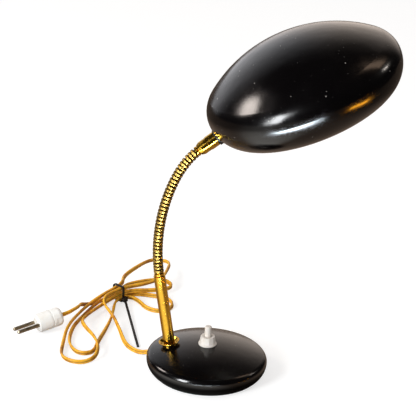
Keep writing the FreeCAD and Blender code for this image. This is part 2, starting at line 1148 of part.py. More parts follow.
# The cord's line runs past these corners, in order from the grommet to the plug. It
# lies on the table or on the strands below it, and crosses the waist six times.
CORD_POINTS = [
    # out of the base, along the table and up over the hank
    (-57.7, 14.4, 8.2),
    (-66.5, 16.6, 4.5),
    (-73.5, 19, 2.8),
    (-80, 23, 2.5),
    (-86.5, 29, 2.5),
    (-92, 38, 2.5),
    (-96.5, 49, 2.8),
    (-101, 60.5, 4.2),
    (-106, 71, 6.3),
    (-111, 81, 8.5),
    (-117.5, 90.5, 10.6),
    (-123.5, 98, 12.4),
    (-127, 106.5, 14.2),
    (-126, 116, 16),
    # through the tie and round the tall loop behind the stem
    (-118.5, 130.5, 15.6),
    (-108.5, 146, 14.6),
    (-90.5, 159, 14),
    (-74, 178.5, 13.5),
    (-71.5, 208, 11.5),
    (-72, 229.5, 10.5),
    (-84.5, 237, 8.5),
    (-97, 229.5, 10.5),
    (-111, 192.5, 13),
    (-116.5, 170, 14.4),
    # back through the tie and round the long front loop
    (-113.5, 150, 15.4),
    (-136, 112, 14),
    (-147.5, 89, 9.8),
    (-157.5, 56.5, 5.8),
    (-155, 20, 3.5),
    (-152.5, -7, 3),
    (-140.5, -17, 2.5),
    (-124.5, -16, 2.5),
    (-114, -4, 5.5),
    (-118, 24, 9),
    (-143, 60.5, 8.5),
    (-143.5, 75.5, 8),
    # through the tie at half height and round the middle loop behind the stem
    (-128, 111.5, 8.8),
    (-117, 134, 9.3),
    (-105.5, 149, 9.2),
    (-82.5, 155.5, 8.6),
    (-61.8, 169.5, 7),
    (-63.8, 183.5, 6.5),
    (-77.5, 189.5, 7.5),
    (-109.5, 166, 9.2),
    # back and round the short front loop on the table
    (-114.5, 148.5, 9.9),
    (-136.5, 112, 8),
    (-148, 82.5, 2.5),
    (-152.5, 59.5, 2.5),
    (-150.5, 26, 2.5),
    (-140, 6, 2.5),
    (-129, 3, 2.5),
    (-120, 10, 2.5),
    (-120, 33, 2.5),
    (-116.5, 67, 2.5),
    # through the tie lowest of all and round the loop beside the stem
    (-115.5, 98.5, 2.6),
    (-118.5, 129, 3.9),
    (-113, 139.5, 3.9),
    (-103, 145.5, 3.4),
    (-92.5, 138.5, 2.5),
    (-83, 123.5, 2.5),
    (-68, 118, 2.5),
    (-55.5, 128, 2.5),
    (-56, 145, 2.5),
    (-68.5, 155.5, 2.5),
    # back through the tie, up over the hank and into the plug
    (-106.5, 154, 3.8),
    (-130.5, 131.5, 3.9),
    (-137, 121, 4.6),
    (-145.8, 107, 7.6),
    (-150.7, 94, 13.8),
    (-149.8, 82, 17.2),
    (-152.8, 70.5, 19.1),
    (-158.3, 63.3, 17.4),
    (-167.7, 57.1, 15.3),
]

# Where the route passes from the lead to the hank and from the hank to the plug lead
HANK_START = 14
HANK_END = 64


def heading(angle):
    """Level unit vector at that angle from +X, in degrees."""
    return Vector(math.cos(math.radians(angle)), math.sin(math.radians(angle)), 0)


def route_stations(corners):
    """Points and directions of the cord: both ends, and the middle of each inner leg."""
    points = [Vector(*corner) for corner in corners]
    stations = [(points[0], (points[1] - points[0]).normalize())]
    for here, after in zip(points[1:-2], points[2:-1]):
        stations.append(((here + after) / 2, (after - here).normalize()))
    stations.append((points[-1], (points[-1] - points[-2]).normalize()))
    return stations


def arc_edge(start, corner, end):
    """Arc that leaves start towards corner and reaches end coming from it."""
    middle = (start + end) / 2
    rise = corner - middle
    half = (end - start).Length / 2
    if rise.Length < 1e-4 * half:
        return Part.LineSegment(start, end).toShape()
    bend = math.atan2(rise.Length, half)
    top = middle + rise.normalize() * (half * math.tan(bend / 2))
    return Part.Arc(start, top, end).toShape()


def biarc(start, way_in, end, way_out):
    """Two arcs from start to end that keep both directions and meet smoothly."""
    gap = end - start
    both = way_in + way_out
    apart = 2 * (1 - way_in.dot(way_out))
    if apart < 1e-9:
        reach = gap.dot(gap) / (4 * gap.dot(way_out))
    else:
        along_both = gap.dot(both)
        inside = along_both * along_both + apart * gap.dot(gap)
        reach = (math.sqrt(inside) - along_both) / apart
    first = start + way_in * reach
    second = end - way_out * reach
    middle = (first + second) / 2
    return [arc_edge(start, first, middle), arc_edge(middle, second, end)]


def route_edges(stations):
    """Pairs of arcs between the neighbouring stations."""
    edges = []
    for (start, way_in), (end, way_out) in zip(stations[:-1], stations[1:]):
        edges += biarc(start, way_in, end, way_out)
    return edges


def tube(label, edges, radius):
    """Round tube along a path of lines and arcs, with its volume compared."""
    path = Part.Wire(edges)
    start = edges[0].Vertexes[0].Point
    first, last = edges[0].ParameterRange
    way = edges[0].tangentAt(first)
    circle = Part.Wire([Part.Circle(start, way, radius).toShape()])
    solid = path.makePipeShell([circle], True, False)
    expected = math.pi * radius * radius * path.Length
    share = solid.Volume / expected
    print(f"{label}: length {path.Length:.0f}, volume share {share:.4f}")
    return shaped(label, solid)


def least_gap(edges, diameter):
    """Least gap between stretches of the same cord that aren't neighbours."""
    points, distance, walked = [], [], 0.0
    for edge in edges:
        for point in edge.discretize(max(3, int(edge.Length / 2))):
            if points and (point - points[-1]).Length < 1e-6:
                continue
            walked += (point - points[-1]).Length if points else 0.0
            points.append(point)
            distance.append(walked)
    least = 1e9
    place = None
    for i, one in enumerate(points):
        for j in range(i + 1, len(points)):
            if distance[j] - distance[i] < 5 * diameter:
                continue
            apart = (one - points[j]).Length
            if apart < least:
                least, place = apart, (one, points[j])
    return least - diameter, place


def make_cord():
    stations = route_stations(CORD_POINTS)
    gap, place = least_gap(route_edges(stations), 2 * CORD_RADIUS)
    print(f"cord: least gap to itself {gap:.2f} at {place}")
    stretches = {
        "cord_lead": stations[: HANK_START + 1],
        "cord_hank": stations[HANK_START : HANK_END + 1],
        "cord_plug_lead": stations[HANK_END:],
    }
    return [
        tube(label, route_edges(stretch), CORD_RADIUS)
        for label, stretch in stretches.items()
    ]


# Plug

PLUG_NOSE = Vector(-188.6, 43.3, 10.6)
PLUG_HEADING = 213.5
PLUG_DIP = 10.6
PIN_ROLL = -13.0
SOCKET_DEPTH = 12.0
CAP_BORE_DEPTH = 5.0


def plug_placement():
    """Frame with its origin at the plug's face and Z towards the cord."""
    dip = math.radians(PLUG_DIP)
    nose = heading(PLUG_HEADING) * math.cos(dip) - Vector(0, 0, math.sin(dip))
    back = nose * -1
    across = Vector(0, 0, 1).cross(back).normalize()
    return frame(PLUG_NOSE, across, back.cross(across), back)


plug_frame = plug_placement()


def make_plug_body():
    """Front of the plug, with a round boss on its face that holds the pins."""
    radius = cell("plug_radius")
    length = cell("plug_length")
    body = turned(
        "plug_blank",
        [
            (0, 0),
            (cell("plug_boss_radius") - 0.3, 0),
            (cell("plug_boss_radius"), 0.3),
            (cell("plug_boss_radius"), 1.2),
            (radius - 1.0, 1.2),
            (radius - 0.3, 1.9),
            (radius - 0.2, 4),
            (radius, length - 2),
            (radius - 0.3, length),
            (0, length),
        ],
        plug_frame,
    )
    sockets = [
        cylinder(
            f"plug_socket_{i}", cell("pin_radius"), SOCKET_DEPTH + 2, pin_place(i, -2)
        )
        for i in range(2)
    ]
    return cut("plug_body", body, fused("plug_sockets", *sockets))


def pin_place(index, distance):
    side_step = (index - 0.5) * number("pin_spacing")
    roll = FreeCAD.Placement(Vector(), FreeCAD.Rotation(Vector(0, 0, 1), PIN_ROLL))
    return along(plug_frame.multiply(roll), distance, side_step)


def make_plug_pins():
    pins = []
    for i in range(2):
        pin = turned(
            f"plug_pin_{i}",
            [
                (0, -cell("pin_length")),
                (cell("pin_radius") - 0.9, -cell("pin_length")),
                (cell("pin_radius"), 1.4 - cell("pin_length")),
                (cell("pin_radius"), SOCKET_DEPTH),
                (0, SOCKET_DEPTH),
            ],
            pin_place(i, 0),
        )
        pins.append(pin)
    return group("plug_pins", pins)


def make_plug_cap():
    """Rear cap of the plug, with a flat on either side and the cord's hole."""
    radius = cell("plug_radius")
    start = cell("plug_length")
    total = start + cell("plug_cap_length")
    bore = cell("cord_diameter") / 2 + 0.3
    cap = turned(
        "cap_blank",
        [
            (0, start),
            (radius - 0.9, start),
            (radius - 0.2, start + 0.8),
            (radius - 0.2, total - 3.4),
            (radius - 0.9, total - 1.6),
            (radius - 2.4, total),
            (bore, total),
            (bore, total - CAP_BORE_DEPTH),
            (0, total - CAP_BORE_DEPTH),
        ],
        plug_frame,
    )
    length = number("plug_cap_length")
    sides = []
    for i, near in enumerate((number("plug_flat"), -number("plug_flat") - length)):
        corner = Vector(near, -length, number("plug_length") + 3.6)
        place = plug_frame.multiply(FreeCAD.Placement(corner, FreeCAD.Rotation()))
        sides.append(box(f"cap_side_{i}", length, 2 * length, length, place))
    return cut("plug_cap", cap, fused("cap_sides", *sides))


# Cable tie

TIE_PLACE = Vector(-116, 140, 0)
TIE_HEADING = 57.0
TIE_TAIL_END = Vector(-77, 34, 0.9)


def rounded_bar(low, high, length, corner_radius):
    """Bar along Z between two corners of its section, with its long edges rounded."""
    bar = Part.makeBox(high[0] - low[0], high[1] - low[1], length)
    bar.translate(Vector(low[0], low[1], -length / 2))
    upright = [edge for edge in bar.Edges if abs(edge.tangentAt(0).z) > 0.5]
    return bar.makeFillet(corner_radius, upright)


def make_cable_tie():
    """Cable tie round the hank's waist, with its head and its straight tail."""
    width = number("tie_width")
    thick = number("tie_thickness")
    place = frame(
        TIE_PLACE,
        heading(TIE_HEADING + 90),
        Vector(0, 0, 1),
        heading(TIE_HEADING),
    )
    inner_low = Vector(-6.35, 1.25)
    inner_high = Vector(6.95, 17.9)
    rim = Vector(thick, thick)
    inner_round = 1.8
    loop = rounded_bar(inner_low - rim, inner_high + rim, width, inner_round + thick)
    loop = loop.cut(rounded_bar(inner_low, inner_high, 2 * width, inner_round))
    head_side = inner_low.x - thick
    head = rounded_bar((head_side - 4, 2.2), (head_side + 0.6, 7.4), 5.2, 0.5)
    loop = loop.fuse(head)
    loop.Placement = place
    tail_start = place.multVec(Vector(head_side - 2, 4.2, 0))
    way = (TIE_TAIL_END - tail_start).normalize()
    across = Vector(0, 0, 1).cross(way).normalize()
    tail = Part.makeBox(width, thick, (TIE_TAIL_END - tail_start).Length)
    tail.translate(Vector(-width / 2, -thick / 2, 0))
    tail.Placement = frame(tail_start, across, way.cross(across), way).multiply(tail.Placement)
    return shaped("cable_tie", loop.fuse(tail).removeSplitter())


# Build

parts = [
    make_base_shell(),
    make_foot_pad(),
    make_base_plate(),
    make_ballast(),
    make_base_screws(),
    make_cord_grommet(),
    make_switch_body(),
    make_switch_nut(),
    make_switch_button(),
    make_switch_spring(),
    make_switch_terminals(),
    make_stem_tube(),
    make_stem_collar(),
    make_stem_nipple(),
    make_stem_washer(),
    make_stem_nut(),
]
parts += make_neck()
outer_form = shade_form("shade_outer_form", as_size(0))
inner_form = shade_form("shade_inner_form", cell("shade_wall"))
parts += [
    make_shade(),
    make_ferrule(),
    make_ferrule_washer(outer_form),
    make_shade_washer(inner_form),
    make_shade_nipple(),
    make_shade_nut(),
    make_holder_cap(),
    make_holder_shell(),
    make_holder_insert(),
    make_holder_contacts(),
    make_bulb_cap(),
    make_bulb_glass(),
]
parts += make_cord()
parts += [make_cable_tie(), make_plug_body(), make_plug_pins(), make_plug_cap()]

doc.recompute()

for thing in doc.Objects:
    for word in ("Invalid", "Error"):
        if word in thing.State:
            raise RuntimeError(f"{thing.Label} is {word}")
for part in parts:
    if part.Shape.isNull() or not part.Shape.isValid():
        raise RuntimeError(f"{part.Label} has no valid shape")

os.makedirs("parts", exist_ok=True)
for part in parts:
    part.Shape.exportStep(f"parts/{part.Label}.step")
print(len(parts), "parts written")
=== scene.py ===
"""A gooseneck desk lamp.

Black domed base and shade, brass stem and ringed neck, push switch and a flat golden flex.
"""

import json
import math

import bmesh
import bpy
from mathutils import Matrix, Vector


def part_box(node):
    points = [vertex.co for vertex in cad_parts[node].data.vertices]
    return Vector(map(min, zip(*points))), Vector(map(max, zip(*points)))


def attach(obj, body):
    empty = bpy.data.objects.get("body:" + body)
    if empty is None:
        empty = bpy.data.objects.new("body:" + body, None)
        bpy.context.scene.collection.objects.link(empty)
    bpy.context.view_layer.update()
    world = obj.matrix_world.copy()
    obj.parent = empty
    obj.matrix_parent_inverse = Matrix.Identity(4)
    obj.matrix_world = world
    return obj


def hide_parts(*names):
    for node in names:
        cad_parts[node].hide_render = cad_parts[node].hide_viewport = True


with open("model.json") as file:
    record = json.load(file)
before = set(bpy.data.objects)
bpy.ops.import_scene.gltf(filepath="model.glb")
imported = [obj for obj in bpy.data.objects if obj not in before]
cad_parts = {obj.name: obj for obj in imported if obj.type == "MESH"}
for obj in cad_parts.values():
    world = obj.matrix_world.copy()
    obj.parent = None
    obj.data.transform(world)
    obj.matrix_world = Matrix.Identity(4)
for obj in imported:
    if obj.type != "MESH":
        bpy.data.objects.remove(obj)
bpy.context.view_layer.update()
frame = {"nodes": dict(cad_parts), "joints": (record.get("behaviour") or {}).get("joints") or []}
NODES = frame["nodes"]
MM = 0.001


# The camera: a long lens, above the table and a little to the lamp's right.

CAMERA_DISTANCE = 2.2
CAMERA_RISE = math.radians(28.0)
CAMERA_SIDE = math.radians(6.0)
CAMERA_ROLL = math.radians(3.2)
LAMP_FOOT_AT = Vector((206.0, 370.0))
PICTURE_SIZE = 416
FOCUS_IN_PIXELS = 2112.0
SENSOR_WIDTH = 36.0


def make_camera():
    """Looks so that the middle of the base's underside falls where the photograph has it"""
    back = Vector(
        (
            math.sin(CAMERA_SIDE) * math.cos(CAMERA_RISE),
            -math.cos(CAMERA_SIDE) * math.cos(CAMERA_RISE),
            math.sin(CAMERA_RISE),
        )
    )
    level = Vector((math.cos(CAMERA_SIDE), math.sin(CAMERA_SIDE), 0.0))
    upright = back.cross(level)
    right = level * math.cos(CAMERA_ROLL) + upright * math.sin(CAMERA_ROLL)
    up = upright * math.cos(CAMERA_ROLL) - level * math.sin(CAMERA_ROLL)
    middle = PICTURE_SIZE / 2
    foot_ray = Vector(
        (
            (LAMP_FOOT_AT.x - middle) / FOCUS_IN_PIXELS,
            (middle - LAMP_FOOT_AT.y) / FOCUS_IN_PIXELS,
            -1.0,
        )
    )
    tilt = Vector((0.0, 0.0, -1.0)).rotation_difference(foot_ray).to_matrix()
    axes = tilt @ Matrix((right, up, back))
    lens = bpy.data.cameras.new("camera")
    lens.sensor_width = SENSOR_WIDTH
    lens.lens = FOCUS_IN_PIXELS / PICTURE_SIZE * SENSOR_WIDTH
    lens.clip_end = 50.0
    camera = bpy.data.objects.new("camera", lens)
    camera.matrix_world = (
        Matrix.Translation(back * CAMERA_DISTANCE) @ axes.transposed().to_4x4()
    )
    bpy.context.scene.collection.objects.link(camera)
    bpy.context.scene.camera = camera


make_camera()


# The flex: out of the base, up over the bundle, three turns of a hank, and on to the plug.

CORD_POINTS = (
    # out of the base, along the table and up over the hank
    (-57.7, 14.4, 8.2),
    (-66.5, 16.6, 4.5),
    (-73.5, 19, 2.8),
    (-80, 23, 2.5),
    (-86.5, 29, 2.5),
    (-92, 38, 2.5),
    (-96.5, 49, 2.8),
    (-101, 60.5, 4.2),
    (-106, 71, 6.3),
    (-111, 81, 8.5),
    (-117.5, 90.5, 10.6),
    (-123.5, 98, 12.4),
    (-127, 106.5, 14.2),
    (-126, 116, 16),
    # through the tie and round the tall loop behind the stem
    (-118.5, 130.5, 15.6),
    (-108.5, 146, 14.6),
    (-90.5, 159, 14),
    (-74, 178.5, 13.5),
    (-71.5, 208, 11.5),
    (-72, 229.5, 10.5),
    (-84.5, 237, 8.5),
    (-97, 229.5, 10.5),
    (-111, 192.5, 13),
    (-116.5, 170, 14.4),
    # back through the tie and round the long front loop
    (-113.5, 150, 15.4),
    (-136, 112, 14),
    (-147.5, 89, 9.8),
    (-157.5, 56.5, 5.8),
    (-155, 20, 3.5),
    (-152.5, -7, 3),
    (-140.5, -17, 2.5),
    (-124.5, -16, 2.5),
    (-114, -4, 5.5),
    (-118, 24, 9),
    (-143, 60.5, 8.5),
    (-143.5, 75.5, 8),
    # through the tie at half height and round the middle loop behind the stem
    (-128, 111.5, 8.8),
    (-117, 134, 9.3),
    (-105.5, 149, 9.2),
    (-82.5, 155.5, 8.6),
    (-61.8, 169.5, 7),
    (-63.8, 183.5, 6.5),
    (-77.5, 189.5, 7.5),
    (-109.5, 166, 9.2),
    # back and round the short front loop on the table
    (-114.5, 148.5, 9.9),
    (-136.5, 112, 8),
    (-148, 82.5, 2.5),
    (-152.5, 59.5, 2.5),
    (-150.5, 26, 2.5),
    (-140, 6, 2.5),
    (-129, 3, 2.5),
    (-120, 10, 2.5),
    (-120, 33, 2.5),
    (-116.5, 67, 2.5),
    # through the tie lowest of all and round the loop beside the stem
    (-115.5, 98.5, 2.6),
    (-118.5, 129, 3.9),
    (-113, 139.5, 3.9),
    (-103, 145.5, 3.4),
    (-92.5, 138.5, 2.5),
    (-83, 123.5, 2.5),
    (-68, 118, 2.5),
    (-55.5, 128, 2.5),
    (-56, 145, 2.5),
    (-68.5, 155.5, 2.5),
    # back through the tie, up over the hank and into the plug
    (-106.5, 154, 3.8),
    (-130.5, 131.5, 3.9),
    (-137, 121, 4.6),
    (-145.8, 107, 7.6),
    (-150.7, 94, 13.8),
    (-149.8, 82, 17.2),
    (-152.8, 70.5, 19.1),
    (-158.3, 63.3, 17.4),
    (-167.7, 57.1, 15.3),
)
STEPS_PER_BEND = 10
FLEX_WIDTH = 5.0 * MM
FLEX_CORE = 1.3 * MM
FLEX_ROLL = math.radians(24.0)
FLEX_ROLLS = 9.0
CORE_STEPS = 9
WAIST_ANGLE = math.radians(38.0)
STRAIGHTENING = 0.6


def cord_line():
    """The flex's centre line, read from one smooth spline through its route"""
    curve = bpy.data.curves.new("cord_line", "CURVE")
    curve.dimensions = "3D"
    spline = curve.splines.new("NURBS")
    spline.points.add(len(CORD_POINTS) - 1)
    for point, place in zip(spline.points, CORD_POINTS):
        point.co = (*(value * MM for value in place), 1.0)
    spline.order_u = 3
    spline.use_endpoint_u = True
    curve.resolution_u = STEPS_PER_BEND
    holder = bpy.data.objects.new("cord_line", curve)
    bpy.context.scene.collection.objects.link(holder)
    bpy.context.view_layer.update()
    read = bpy.data.meshes.new_from_object(holder)
    line = [vertex.co.copy() for vertex in read.vertices]
    bpy.data.objects.remove(holder)
    bpy.data.meshes.remove(read)
    bpy.data.curves.remove(curve)
    return line


def flex_section():
    """Two round cores side by side: points (thin way, wide way) round the outline"""
    reach = FLEX_WIDTH / 2 - FLEX_CORE
    round_core = 2 * math.pi - 2 * WAIST_ANGLE
    section = []
    for side in (1.0, -1.0):
        for step in range(CORE_STEPS + 1):
            turn = WAIST_ANGLE + round_core * step / CORE_STEPS - math.pi
            section.append(
                (
                    side * FLEX_CORE * math.sin(turn),
                    side * (reach + FLEX_CORE * math.cos(turn)),
                )
            )
    return section


def sweep(name, line, section, roll_at):
    """A closed tube of one section along a line, its wide side upright but for roll_at(share)"""
    body = bmesh.new()
    across_uv = body.loops.layers.uv.new("flex")
    count = len(section)
    rings = []
    lengths = [0.0]
    for start, end in zip(line, line[1:]):
        lengths.append(lengths[-1] + (end - start).length)
    wide = Vector((0.0, 0.0, 1.0))
    for index, place in enumerate(line):
        along = (
            line[min(index + 1, len(line) - 1)] - line[max(index - 1, 0)]
        ).normalized()
        upright = (Vector((0, 0, 1)) - along * along.z).normalized()
        wide = wide.lerp(upright, STRAIGHTENING)
        wide = (wide - along * along.dot(wide)).normalized()
        thin = along.cross(wide)
        roll = Matrix.Rotation(roll_at(lengths[index] / lengths[-1]), 3, along)
        ring = [
            body.verts.new(place + roll @ (thin * a + wide * b)) for a, b in section
        ]
        rings.append(ring)
    for index, (ring, following) in enumerate(zip(rings, rings[1:])):
        for step in range(count):
            after = (step + 1) % count
            face = body.faces.new(
                (ring[step], ring[after], following[after], following[step])
            )
            face.smooth = True
            for loop, (u, v) in zip(
                face.loops,
                (
                    (step, index),
                    (step + 1, index),
                    (step + 1, index + 1),
                    (step, index + 1),
                ),
            ):
                loop[across_uv].uv = (u / count, lengths[v])
    body.faces.new(list(reversed(rings[0])))
    body.faces.new(rings[-1])
    bmesh.ops.recalc_face_normals(body, faces=body.faces)
    mesh = bpy.data.meshes.new(name)
    body.to_mesh(mesh)
    body.free()
    made = bpy.data.objects.new(name, mesh)
    bpy.context.scene.collection.objects.link(made)
    return made


def make_cord():
    """The whole flex as one piece, rolling a little from side to side as it lies"""
    line = cord_line()
    flex = sweep(
        "flex",
        line,
        flex_section(),
        lambda share: FLEX_ROLL * math.sin(FLEX_ROLLS * 2 * math.pi * share),
    )
    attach(flex, "base")
    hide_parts("cord_lead", "cord_hank", "cord_plug_lead")
    return flex


flex = make_cord()


# Shared finishes.


class Wiring:
    """Adds and joins the nodes of one material, or of one effect that several share"""

    def __init__(self, tree):
        self.tree = tree

    def add(self, kind, **settings):
        made = self.tree.nodes.new("ShaderNode" + kind)
        for name, value in settings.items():
            setattr(made, name, value)
        return made

    def feed(self, socket, value):
        if isinstance(value, bpy.types.NodeSocket):
            self.tree.links.new(value, socket)
        else:
            socket.default_value = value

    def maths(self, operation, first, second=0.0, third=0.0):
        made = self.add("Math", operation=operation)
        for socket, value in zip(made.inputs, (first, second, third)):
            self.feed(socket, value)
        return made.outputs[0]

    def vector(self, operation, first, second=(0.0, 0.0, 0.0)):
        made = self.add("VectorMath", operation=operation)
        self.feed(made.inputs[0], first)
        self.feed(made.inputs[1], second)
        single = operation in ("DOT_PRODUCT", "LENGTH", "DISTANCE")
        return made.outputs[1 if single else 0]

    def between(self, value, low, high, to_low=0.0, to_high=1.0):
        made = self.add("MapRange", interpolation_type="SMOOTHSTEP")
        for socket, setting in zip(made.inputs, (value, low, high, to_low, to_high)):
            self.feed(socket, setting)
        return made.outputs[0]

    def mix(self, share, first, second):
        made = self.add("Mix", data_type="RGBA")
        self.feed(made.inputs["Factor"], share)
        self.feed(made.inputs[6], first)
        self.feed(made.inputs[7], second)
        return made.outputs[2]

    def noise(self, place, scale, detail=3.0, roughness=0.5):
        made = self.add("TexNoise")
        self.feed(made.inputs["Vector"], place)
        self.feed(made.inputs["Scale"], scale)
        self.feed(made.inputs["Detail"], detail)
        self.feed(made.inputs["Roughness"], roughness)
        return made.outputs[0]


def effect(name, inputs, outputs):
    """An empty shared effect with named inputs and outputs"""
    tree = bpy.data.node_groups.new(name, "ShaderNodeTree")
    for label, kind, value in inputs:
        socket = tree.interface.new_socket(
            label, in_out="INPUT", socket_type="NodeSocket" + kind
        )
        if value is not None:
            socket.default_value = value
    for label in outputs:
        tree.interface.new_socket(
            label, in_out="OUTPUT", socket_type="NodeSocketFloat"
        )
    wiring = Wiring(tree)
    entry = tree.nodes.new("NodeGroupInput")
    result = tree.nodes.new("NodeGroupOutput")
    return wiring, entry.outputs, result.inputs


def make_dust_specks():
    """Sparse pale specks and small scuffs that sit on a dark glossy surface"""
    w, given, out = effect(
        "dust specks",
        (("Place", "Vector", None), ("Scale", "Float", 300.0), ("Share", "Float", 0.1)),
        ("Mask",),
    )
    cells = w.add("TexVoronoi")
    w.feed(cells.inputs["Vector"], given["Place"])
    w.feed(cells.inputs["Scale"], given["Scale"])
    chosen = w.add("SeparateColor")
    w.feed(chosen.inputs[0], cells.outputs["Color"])
    picked = w.maths("LESS_THAN", chosen.outputs[0], given["Share"])
    width = w.maths("MULTIPLY_ADD", chosen.outputs[1], 0.13, 0.05)
    dot = w.maths("LESS_THAN", cells.outputs["Distance"], width)
    w.feed(out["Mask"], w.maths("MULTIPLY", picked, dot))
    return w.tree


def make_smudges():
    """Wide soft patches where a surface is duller, from handling"""
    w, given, out = effect(
        "smudges",
        (
            ("Place", "Vector", None),
            ("Scale", "Float", 20.0),
            ("Clean", "Float", 0.2),
            ("Dull", "Float", 0.4),
        ),
        ("Value",),
    )
    cloud = w.noise(given["Place"], given["Scale"], 4.0, 0.62)
    w.feed(
        out["Value"], w.between(cloud, 0.35, 0.68, given["Clean"], given["Dull"])
    )
    return w.tree


def make_fine_relief():
    """A low uneven surface: peel in paint, flow marks in a moulding, drawing lines in metal"""
    w, given, out = effect(
        "fine relief",
        (
            ("Place", "Vector", None),
            ("Scale", "Float", 400.0),
            ("Amount", "Float", 1.0),
        ),
        ("Height",),
    )
    ripples = w.noise(given["Place"], given["Scale"], 2.0, 0.5)
    w.feed(out["Height"], w.maths("MULTIPLY", ripples, given["Amount"]))
    return w.tree


EFFECTS = {
    "dust": make_dust_specks(),
    "smudges": make_smudges(),
    "relief": make_fine_relief(),
}


class Finish(Wiring):
    """One surface finish: a Principled shader and what feeds it, fixed to the object's own space"""

    def __init__(self, name, colour, roughness, metallic=0.0, **settings):
        self.material = bpy.data.materials.new(name)
        self.material.use_nodes = True
        super().__init__(self.material.node_tree)
        self.shader = self.tree.nodes["Principled BSDF"]
        self.shader.inputs["Base Color"].default_value = (*colour, 1.0)
        self.shader.inputs["Roughness"].default_value = roughness
        self.shader.inputs["Metallic"].default_value = metallic
        for label, value in settings.items():
            self.shader.inputs[label.replace("_", " ")].default_value = value
        self.place = self.add("TexCoord").outputs["Object"]

    def use(self, effect_name, **values):
        made = self.add("Group")
        made.node_tree = EFFECTS[effect_name]
        self.feed(made.inputs["Place"], values.pop("Place", self.place))
        for label, value in values.items():
            self.feed(made.inputs[label], value)
        return made.outputs[0]

    def colour(self, value):
        self.feed(self.shader.inputs["Base Color"], value)

    def rough(self, value):
        self.feed(self.shader.inputs["Roughness"], value)

    def relief(self, height, distance, strength=1.0):
        bump = self.add("Bump")
        self.feed(bump.inputs["Height"], height)
        bump.inputs["Distance"].default_value = distance
        bump.inputs["Strength"].default_value = strength
        self.feed(self.shader.inputs["Normal"], bump.outputs[0])


BLACK = (0.0014, 0.0011, 0.0013)
DUST = (0.32, 0.3, 0.28, 1.0)
DUST_COVER = 0.7
SHADE_WHITE = (0.8, 0.78, 0.72, 1.0)
PAINT_RELIEF = 0.00003


def black_lacquer(name, shade_middle=None):
    """Old stoved black enamel: smudged gloss, dust, small chips, and white inside a shade"""
    finish = Finish(name, BLACK, 0.2)
    dust = finish.maths(
        "MAXIMUM",
        finish.use("dust", Scale=210.0, Share=0.07),
        finish.maths("MULTIPLY", finish.use("dust", Scale=520.0, Share=0.05), 0.5),
    )
    paint = finish.mix(
        finish.maths("MULTIPLY", dust, DUST_COVER), (*BLACK, 1.0), DUST
    )
    gloss = finish.use("smudges", Scale=26.0, Clean=0.15, Dull=0.23)
    if shade_middle is not None:
        coords = finish.add("TexCoord")
        outward = finish.vector("SUBTRACT", finish.place, tuple(shade_middle))
        facing = finish.vector("DOT_PRODUCT", coords.outputs["Normal"], outward)
        inner = finish.maths("LESS_THAN", facing, 0.0)
        paint = finish.mix(inner, paint, SHADE_WHITE)
        gloss = finish.maths("MULTIPLY_ADD", inner, 0.2, gloss)
    finish.colour(paint)
    finish.rough(gloss)
    dents = finish.use("relief", Scale=30.0, Amount=14.0)
    peel = finish.use("relief", Scale=700.0, Amount=1.0)
    finish.relief(finish.maths("ADD", dents, peel), PAINT_RELIEF)
    return finish.material


BRASS = (0.68, 0.4, 0.045)
NECK_BRASS = (0.4, 0.26, 0.065)
TARNISH = (0.2, 0.1, 0.025, 1.0)
# Near-black painted shade for the grooves between the neck's rings
PAINTED_GROOVE_SHADE = (0.012, 0.009, 0.006, 1.0)
# Rings counted from far below the neck, so that the count is never negative
RINGS_BELOW = 50.0


def brass(
    name, colour=BRASS, foot=None, way=None, pitch=1.0, clean=0.12, spotted=0.6
):
    """Polished brass gone brown in patches, with the grooves between rings painted near black as
    painted shade
    """
    finish = Finish(name, colour, 0.18, 1.0)
    spots = finish.between(
        finish.noise(finish.place, 130.0, 6.0, 0.7), 0.56, 0.7, 0.0, spotted
    )
    metal = finish.mix(spots, (*colour, 1.0), TARNISH)
    gloss = finish.use("smudges", Scale=60.0, Clean=clean, Dull=clean + 0.1)
    if way is not None:
        offset = finish.vector("SUBTRACT", finish.place, tuple(foot))
        along = finish.vector("DOT_PRODUCT", offset, tuple(way / pitch))
        wave = finish.maths("FRACT", finish.maths("ADD", along, RINGS_BELOW))
        from_crest = finish.maths(
            "ABSOLUTE", finish.maths("SUBTRACT", wave, 0.5)
        )
        # The grooves between rings are painted near black: painted shade in the crevices
        groove = finish.between(from_crest, 0.3, 0.42)
        metal = finish.mix(groove, metal, PAINTED_GROOVE_SHADE)
        gloss = finish.maths("MULTIPLY_ADD", groove, 0.4, gloss)
    finish.colour(metal)
    finish.rough(gloss)
    finish.relief(finish.use("relief", Scale=300.0, Amount=1.0), 0.000004)
    return finish.material


def moulded(name, colour, stain, roughness):
    """A moulded plastic, a little discoloured, with a faint grain"""
    finish = Finish(name, colour, roughness)
    patches = finish.between(finish.noise(finish.place, 90.0, 5.0, 0.65), 0.42, 0.72)
    finish.colour(finish.mix(patches, (*colour, 1.0), (*stain, 1.0)))
    finish.rough(
        finish.use("smudges", Scale=120.0, Clean=roughness, Dull=roughness + 0.18)
    )
    finish.relief(finish.use("relief", Scale=1500.0, Amount=1.0), 0.00003)
    return finish.material


def worn_metal(name, colour, stain, roughness):
    """Plain metal with dull patches: steel fixings, the iron weight, a bulb's cap"""
    finish = Finish(name, colour, roughness, 1.0)
    patches = finish.between(finish.noise(finish.place, 160.0, 6.0, 0.7), 0.45, 0.7)
    finish.colour(finish.mix(patches, (*colour, 1.0), (*stain, 1.0)))
    finish.rough(
        finish.use("smudges", Scale=150.0, Clean=roughness, Dull=roughness + 0.2)
    )
    finish.relief(finish.use("relief", Scale=1800.0, Amount=1.0), 0.00002)
    return finish.material


GOLD = (0.86, 0.44, 0.03, 1.0)
BROWNED_GOLD = (0.45, 0.17, 0.01, 1.0)
PAINTED_VALLEY_SHADE = (0.22, 0.09, 0.012, 1.0)


